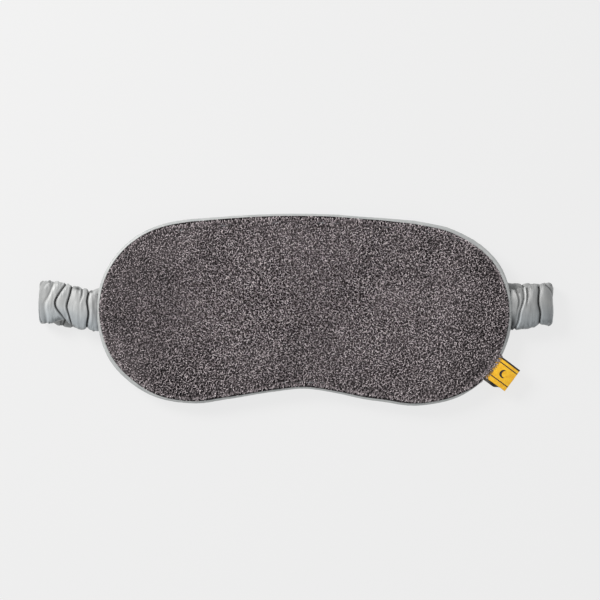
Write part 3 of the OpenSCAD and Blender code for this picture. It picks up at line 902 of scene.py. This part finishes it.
def sideStrap(name, mirror, outerX, creases, edges, hollowsIn, attachY, turnY, tone, seed):
    path = sidePath(outerX)
    s, u, z, du, dz, turnU = path
    bendAt = s[np.argmax(u)]
    listed = [(*(outToLength(path, far * mm) for far in (low, mid, high)), *others)
              for low, mid, high, *others in creases]
    rng = random.Random(seed)
    place = max(max(c[0], c[1], c[2]) for c in listed) + 3.5 * mm
    while place < s[-1] - 3 * mm:  # the hidden side of the turn gathers on its own
        listed.append((place + rng.uniform(-1, 1) * mm, place, place + rng.uniform(-1, 1) * mm,
                       rng.uniform(0.6, 1.1), 0.0, 1.0, 0, 0.2))
        place += rng.uniform(3.0, 5.5) * mm
    listed.append((s[-1], s[-1], s[-1], 1.0, 0.0, 1.0, 0, 0))
    far, across, rise, n0, n1 = sectionGrid(s)
    upper = rise > 0
    puffed, groove, glint, dim = creaseField(far, across, upper, listed, seed + 1)
    u, z, du, dz = [np.interp(far, s, each) for each in (u, z, du, dz)]
    eta = across / (strap["width"] / 2)
    edgeNear = smoothStep(0.62, 1.0, np.abs(eta))
    fine = softNoise(far / (2.1 * mm), across / (8 * mm), seed * 1.7 + np.where(upper, 0, 5.0))
    tucks = softNoise(far / (1.1 * mm), across / (3 * mm), seed * 2.3)
    seamNear = np.clip((u + 1 * mm) / (3 * mm), 0.35, 1)
    inner = smoothStep(0.2, -0.6, du) * (~upper)  # the inside of the turn is squeezed
    swell = strap["puff"] * puffed * (1 + 0.25 * softNoise(far / (6 * mm), 0.0, seed * 3.1, 1))
    out = swell * seamNear * (1 - 0.55 * inner) - strap["groove"] * groove * seamNear
    out += strap["ruffle"] * (fine * (1 + edgeNear) + tucks * edgeNear) * puffed ** 0.5
    outside = np.where(far < bendAt, u, 2 * turnU)  # the far side of the turn keeps clear
    tucked = np.zeros_like(far)
    for place, spot, reach, wide, deep in hollowsIn:
        share = np.exp(-((outside - place * mm) / (reach * mm)) ** 2 - ((eta - spot) / wide) ** 2)
        tucked = np.maximum(tucked, deep * share * upper)
    out -= strap["groove"] * tucked * seamNear
    y = drawEdges(across + out * n0, eta, outside, edges)
    up = rise * seamNear + out * n1
    up = up + strap["arch"] * (1 - eta ** 2) * smoothStep(0, 4 * mm, u) * np.clip(du, 0, 1)
    slip = strap["lean"] * (out - strap["puff"] * 0.5) * np.sin(softNoise(far / (9 * mm), 0.0, seed, 1) * 6)
    slip *= smoothStep(0, 3 * mm, far) * smoothStep(s[-1], s[-1] - 3 * mm, far)
    drift = np.where(far > bendAt, turnY, attachY + (turnY - attachY) * np.clip(u / turnU, 0, 1))
    points = np.stack([mirror * (maskHalf + (u + slip * du - up * dz)), y + drift,
                       seamZ + (z + slip * dz + up * du)], axis=2)
    points[..., 2] = np.maximum(points[..., 2], 0.05 * mm)
    # Painted shade in the creases, the tucks and the ruffled edges
    folded = np.clip(np.clip(groove, 0, 1) + 0.45 * edgeNear * smoothStep(0.15, 0.5, tucks) + tucked, 0, 1)
    # Painted light: the left strap is brightened beside the piping, where it catches the light
    near = 1 + strap["nearLift"] * smoothStep(4 * mm, 1 * mm, outside) * (mirror < 0)
    # Painted bluish shade towards the lower edge of the strap's upper face
    low = strap["lowShade"] * smoothStep(0.3, -0.9, eta) * upper
    # The tones carry all of it: the strap's lit or shaded tone, painted shade, the painted highlight on the
    # lips and the painted light beside the piping
    tones = tone * (1 - strap["shade"] * folded) * (1 + glint) * (1 - dim) * (1 - low) * near
    tint = 1 + low[..., None] * np.array(strap["lowTint"])
    piece = tubePiece(name, points, tones=tones[..., None] * tint)
    core = sideElastic(name.replace("casing", "elastic"), mirror, path, edges, attachY, turnY)
    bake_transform(piece)
    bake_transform(core)
    return piece, core


def sideElastic(name, mirror, path, edges, attachY, turnY):  # curls in wherever the casing draws in
    s, u, z, du, dz, turnU = path
    shape = sectionShape(strap["elasticWidth"], strap["elasticHalf"], 20)
    eta = shape[:, 0] / (strap["elasticWidth"] / 2)
    drift = np.where(s > s[np.argmax(u)], turnY, attachY + (turnY - attachY) * np.clip(u / turnU, 0, 1))
    rings = []
    for i in range(0, len(s), 4):
        wide = drawEdges(shape[:, 0], eta, u[i] if i < np.argmax(u) else 2 * turnU, edges)
        rings.append([(mirror * (maskHalf + u[i] - p[1] * dz[i]), y + drift[i], seamZ + z[i] + p[1] * du[i])
                      for p, y in zip(shape, wide)])
    return tubePiece(name, np.array(rings), elasticCloth)


def middleY(node):
    low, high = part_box(node)
    return (low.y + high.y) / 2


backLow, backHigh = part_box("back_strap_casing")
leftTurnY, rightTurnY = backLow.y + strap["cadWidth"] / 2, backHigh.y - strap["cadWidth"] / 2
# The right strap gets the lower tone: painted shade, as it lies across the light
leftCasing, leftElastic = sideStrap("left_casing", -1, -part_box("left_strap_casing")[0].x, leftCreases,
                                    leftEdges, leftTucks, middleY("left_strap_tack"), leftTurnY,
                                    strap["leftTone"], 21)
rightCasing, rightElastic = sideStrap("right_casing", 1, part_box("right_strap_casing")[1].x, rightCreases,
                                      rightEdges, rightTucks, middleY("right_strap_tack"), rightTurnY,
                                      strap["rightTone"], 35)
for piece, node in ((leftCasing, "left_strap_casing"), (rightCasing, "right_strap_casing")):
    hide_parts(node)
for piece, node in ((leftElastic, "left_strap_elastic"), (rightElastic, "right_strap_elastic")):
    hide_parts(node)
print("side straps made")


def backStrap():
    low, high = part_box("back_strap_casing")
    rng = random.Random(52)
    length = high.x - low.x
    s = np.linspace(0, length, int(length / (0.42 * mm)))
    listed = [(0, 0, 0, 1.0, 0.0, 1.0, 0, 0), (length, length, length, 1.0, 0.0, 1.0, 0, 0)]
    place = 4 * mm
    while place < length - 4 * mm:
        lowEnd, highEnd = place + rng.uniform(-1.6, 1.6) * mm, place + rng.uniform(-1.6, 1.6) * mm
        opening = rng.choice([(0.0, 1.0), (0.0, 1.0), (0.35, 1.0), (0.0, 0.65)])
        middle = place + rng.uniform(-1.5, 1.5) * mm
        listed.append((lowEnd, middle, highEnd, rng.uniform(0.6, 1.2), *opening, 0, 0.25))
        place += rng.uniform(3.2, 7.5) * mm
    far, across, rise, n0, n1 = sectionGrid(s)
    upper = rise > 0
    puffed, groove, glint, _ = creaseField(far, across, upper, listed, 53)
    fine = softNoise(far / (2.1 * mm), across / (8 * mm), np.where(upper, 2.0, 9.0))
    out = strap["puff"] * 0.6 * puffed - strap["groove"] * groove * 0.8
    out += strap["ruffle"] * fine * puffed ** 0.5
    y = drawEdges(across + out * n0, across / (strap["width"] / 2), far, backEdges)
    points = np.stack([low.x + far, backMiddle(far, length) + y, strapHalf + (rise + out * n1)], axis=2)
    points[..., 2] = np.clip(points[..., 2], 0.05 * mm, 2 * strapHalf + 0.2 * mm)
    # Painted light and shade: the run goes from the left strap's lit tone to the right strap's shaded one,
    # with painted shade in its creases and a painted highlight beside them
    tones = strap["leftTone"] + (strap["rightTone"] - strap["leftTone"]) * far / length
    tones = tones * (1 - strap["shade"] * np.clip(groove, 0, 1)) * (1 + glint)
    core = sectionShape(strap["elasticWidth"], strap["elasticHalf"], 20)
    eta = core[:, 0] / (strap["elasticWidth"] / 2)
    rings = [[(low.x + place, float(backMiddle(place, length)) + y, strapHalf + p[1])
              for p, y in zip(core, drawEdges(core[:, 0], eta, place, backEdges))] for place in s[::6]]
    return (tubePiece("back_casing", points, tones=tones),
            tubePiece("back_elastic", np.array(rings), elasticCloth))


def backMiddle(s, length):  # the run wanders a little on its way across
    straight = leftTurnY + (rightTurnY - leftTurnY) * s / length
    return straight - 2.2 * mm * np.exp(-((s - 10 * mm) / (10 * mm)) ** 2) * smoothStep(0, 6 * mm, s)


backCasing, backElastic = backStrap()
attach(backCasing, "strap")
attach(backElastic, "strap")
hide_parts("back_strap_casing")
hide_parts("back_strap_elastic")
print("back strap made")


# ---- label: a woven ribbon folded at its free end and sewn in over the piping

label = {"width": 13.3 * mm, "ply": 0.26 * mm, "gap": 0.16 * mm, "rows": 150, "cols": 34, "tuck": 4.5 * mm,
         "shift": 1.6 * mm, "stripe": 0.55 * mm, "stripeIn": 2.3 * mm, "selvedge": 0.9 * mm,
         "warp": 0.42, "weft": 0.36}  # the last two are thread pitches in mm


def labelMaterial(length):
    # Damask-woven polyester ribbon: tight satin floats in yellow, with dark figuring threads
    made, tree = newMaterial("damask woven ribbon")
    uv = addNode(tree, "UVMap", {"uv_map": "UVMap"})
    parts = addNode(tree, "SeparateXYZ", None, {"Vector": uv.outputs["UV"]})
    along = mathNode(tree, "MULTIPLY", parts.outputs["X"], length / mm)
    across = mathNode(tree, "MULTIPLY", parts.outputs["Y"], label["width"] / mm)
    discs = []
    for shiftAlong, shiftAcross, radius in ((0.0, 0.0, 2.1), (0.9, 0.35, 1.75)):  # a disc less a smaller one
        dx = mathNode(tree, "SUBTRACT", along, moonAt / mm + shiftAlong)
        dy = mathNode(tree, "SUBTRACT", across, label["width"] / 2 / mm + shiftAcross)
        both = addNode(tree, "CombineXYZ", None, {"X": dx, "Y": dy})
        far = addNode(tree, "VectorMath", {"operation": "LENGTH"}, {0: both.outputs[0]})
        discs.append(mathNode(tree, "LESS_THAN", far.outputs["Value"], radius))
    ink = mathNode(tree, "SUBTRACT", *discs, clamp=True)
    stripeIn, stripeOut = label["stripeIn"], label["stripeIn"] + label["stripe"]
    for low, high in ((stripeIn, stripeOut), (label["width"] - stripeOut, label["width"] - stripeIn),
                      (label["width"] - label["selvedge"], label["width"] * 2)):
        gap = mathNode(tree, "ABSOLUTE", mathNode(tree, "SUBTRACT", across, (low + high) / 2 / mm))
        ink = mathNode(tree, "MAXIMUM", ink, mathNode(tree, "LESS_THAN", gap, (high - low) / 2 / mm))
    warp, weft = [mathNode(tree, "SINE", mathNode(tree, "MULTIPLY", run, 2 * math.pi / pitch))
                  for run, pitch in ((across, label["warp"]), (along, label["weft"]))]
    weave = mathNode(tree, "MULTIPLY", warp, weft)
    place = addNode(tree, "TexCoord")
    cloud = addNode(tree, "TexNoise", {"Scale": 1 / (1.6 * mm), "Detail": 3.0},
                    {"Vector": place.outputs["Object"]})
    mixed = mathNode(tree, "MULTIPLY_ADD", weave, 0.18, cloud.outputs["Fac"])
    gold = useRamp(addNode(tree, "ValToRGB", None, {"Fac": mixed}), [(0.25, "#e6a208"), (0.75, "#ffcd22")])
    colour = addNode(tree, "MixRGB", {"Color2": hexColour("#241a12")},
                     {"Fac": ink, "Color1": gold.outputs["Color"]})
    bump = addNode(tree, "Bump", {"Strength": 0.4, "Distance": 0.05 * mm}, {"Height": weave})
    shader = addNode(tree, "BsdfPrincipled", {"Roughness": 0.55, "Sheen Weight": 0.1},
                     {"Base Color": colour.outputs["Color"], "Normal": bump.outputs["Normal"]})
    addNode(tree, "OutputMaterial", None, {"Surface": shader.outputs[0]})
    return made


def ribbonPath():
    over = pipeR + 0.42 * mm
    line = [(-label["tuck"], 0.85 * mm), (-pipeR - over * 0.98, 0.95 * mm)]
    line += [(-pipeR + over * math.cos(a), over * math.sin(a)) for a in np.radians([150, 130, 110, 92])]
    line += [(hingeU(hinge, outward), hinge.z - seamZ), (tipReach * 0.3, 1.95 * mm),
             (tipReach * 0.65, 1.35 * mm), (tipReach - 0.3 * mm, tipZ)]
    line = cutCorners(line, 2)
    far = lengthsAlong(line)
    return line, far


def makeLabel():
    line, far = ribbonPath()
    total = far[-1]
    half = (label["ply"] + label["gap"]) / 2
    deselectAll()
    bpy.ops.mesh.primitive_grid_add(x_subdivisions=label["rows"], y_subdivisions=label["cols"], size=1)
    piece = bpy.context.active_object
    piece.name = "woven_ribbon"
    points = readPoints(piece)
    v = points[:, 0] + 0.5  # along the ribbon, out and back
    w = points[:, 1]  # across it
    turn = math.pi * half
    length = 2 * total + turn
    run = v * length
    front = run < total
    back = run > total + turn
    bend = ~(front | back)
    dist = np.where(front, run, np.where(back, length - run, total))
    u, z = np.interp(dist, far, line[:, 0]), np.interp(dist, far, line[:, 1])
    du = np.interp(dist + 0.05 * mm, far, line[:, 0]) - np.interp(dist - 0.05 * mm, far, line[:, 0])
    dz = np.interp(dist + 0.05 * mm, far, line[:, 1]) - np.interp(dist - 0.05 * mm, far, line[:, 1])
    size = np.maximum(np.hypot(du, dz), 1e-9)
    du, dz = du / size, dz / size
    angle = np.where(bend, (run - total) / turn * math.pi, np.where(back, math.pi, 0))
    lift = half * np.cos(angle)
    push = half * np.sin(angle)
    u, z = u - dz * lift + du * push, z + du * lift + dz * push
    reach = np.clip(dist / total, 0, 1)
    lean = np.where(back, 1.0, np.where(bend, angle / math.pi, 0.0))
    side = w * label["width"] - lean * label["shift"] * smoothStep(0.82, 0.6, reach)
    side = side + (w * 0.5) * 0.25 * mm * np.sin(dist / (3 * mm)) * reach
    z = z + 0.35 * mm * reach * np.sin(w * 2.2 + 0.6) + 0.12 * mm * reach * np.cos(w * 7)
    writePoints(piece, np.column_stack([labelRoot.x + u * outward.x + side * tangent.x,
                                        labelRoot.y + u * outward.y + side * tangent.y, seamZ + z]))
    piece.data.polygons.foreach_set("use_smooth", [True] * len(piece.data.polygons))
    giveMaterial(piece, labelMaterial(length),
                 clothMaterial("reverse of woven ribbon", "#14110e", "#4a4740", 0.9 * mm))
    applyModifier(piece, "SOLIDIFY", thickness=label["ply"], offset=0, use_even_offset=True,
                  material_offset=1)
    applyModifier(piece, "BEVEL", width=0.05 * mm, segments=1, limit_method="ANGLE")
    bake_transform(piece)
    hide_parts("woven_label", "label_tail")
    return piece


lineTotal = ribbonPath()[1][-1]
moonAt = lineTotal - tipReach * 0.52
makeLabel()
print("label made")


# ---- inner parts that stay as the frame has them

inner = (("blackout_liner", "coated blackout lining", "#141416", "#232326", 0.4 * mm),
         ("wadding", "bonded polyester wadding", "#e6e4dd", "#f6f5f1", 1.5 * mm),
         ("seam_stitching", "spun sewing thread", "#7f8285", "#9a9da0", 0.3 * mm),
         ("left_strap_tack", "spun tacking thread", "#7f8285", "#9a9da0", 0.3 * mm),
         ("right_strap_tack", "spun tacking thread", "#7f8285", "#9a9da0", 0.3 * mm))
for node, name, dark, light, pitch in inner:
    giveMaterial(frame["nodes"][node], clothMaterial(name, dark, light, pitch))


# ---- floor, light and camera

studio = {"floorGlow": 0.75, "floorColour": "#565656", "world": 0.54, "keyPower": 9.0,
          "keyPlace": (-0.62, 0.46, 0.62), "keySize": 0.35, "fillPower": 1.2, "fillPlace": (0.6, -0.5, 0.9),
          "fillSize": 0.9}


def aimAt(thing, target):
    thing.rotation_euler = (Vector(target) - thing.location).to_track_quat("-Z", "Y").to_euler()


def areaLight(name, place, power, size, colour):
    lamp = bpy.data.lights.new(name, "AREA")
    lamp.energy, lamp.size, lamp.color = power, size, colour
    made = bpy.data.objects.new(name, lamp)
    bpy.context.collection.objects.link(made)
    made.location = place
    aimAt(made, (0, 0, 0))


def makeStudio():
    deselectAll()
    bpy.ops.mesh.primitive_plane_add(size=6, location=(0, 0, 0))
    floor = bpy.context.active_object
    floor.name = "floor"
    made, tree = newMaterial("pale studio floor")
    matt = addNode(tree, "BsdfDiffuse", {"Color": hexColour(studio["floorColour"])})
    glow = addNode(tree, "Emission", {"Color": (1, 1, 1, 1), "Strength": studio["floorGlow"]})
    both = addNode(tree, "AddShader", None, {0: matt.outputs[0], 1: glow.outputs[0]})
    addNode(tree, "OutputMaterial", None, {"Surface": both.outputs[0]})
    giveMaterial(floor, made)
    world = bpy.data.worlds.new("studio")
    bpy.context.scene.world = world
    world.use_nodes = True
    world.node_tree.nodes["Background"].inputs["Color"].default_value = (1, 1, 1, 1)
    world.node_tree.nodes["Background"].inputs["Strength"].default_value = studio["world"]
    areaLight("key", studio["keyPlace"], studio["keyPower"], studio["keySize"], (1, 0.99, 0.98))
    areaLight("fill", studio["fillPlace"], studio["fillPower"], studio["fillSize"], (0.95, 0.97, 1))
    bpy.context.scene.view_settings.view_transform = "Standard"


view = {"lens": 85, "height": 0.722, "centre": (-2.31 * mm, 4.79 * mm), "roll": 0.010}


def makeCamera():
    lens = bpy.data.cameras.new("camera")
    lens.lens = view["lens"]
    camera = bpy.data.objects.new("camera", lens)
    bpy.context.collection.objects.link(camera)
    camera.location = (*view["centre"], seamZ + view["height"])
    camera.rotation_euler = (0, 0, view["roll"])
    bpy.context.scene.camera = camera


makeStudio()
makeCamera()
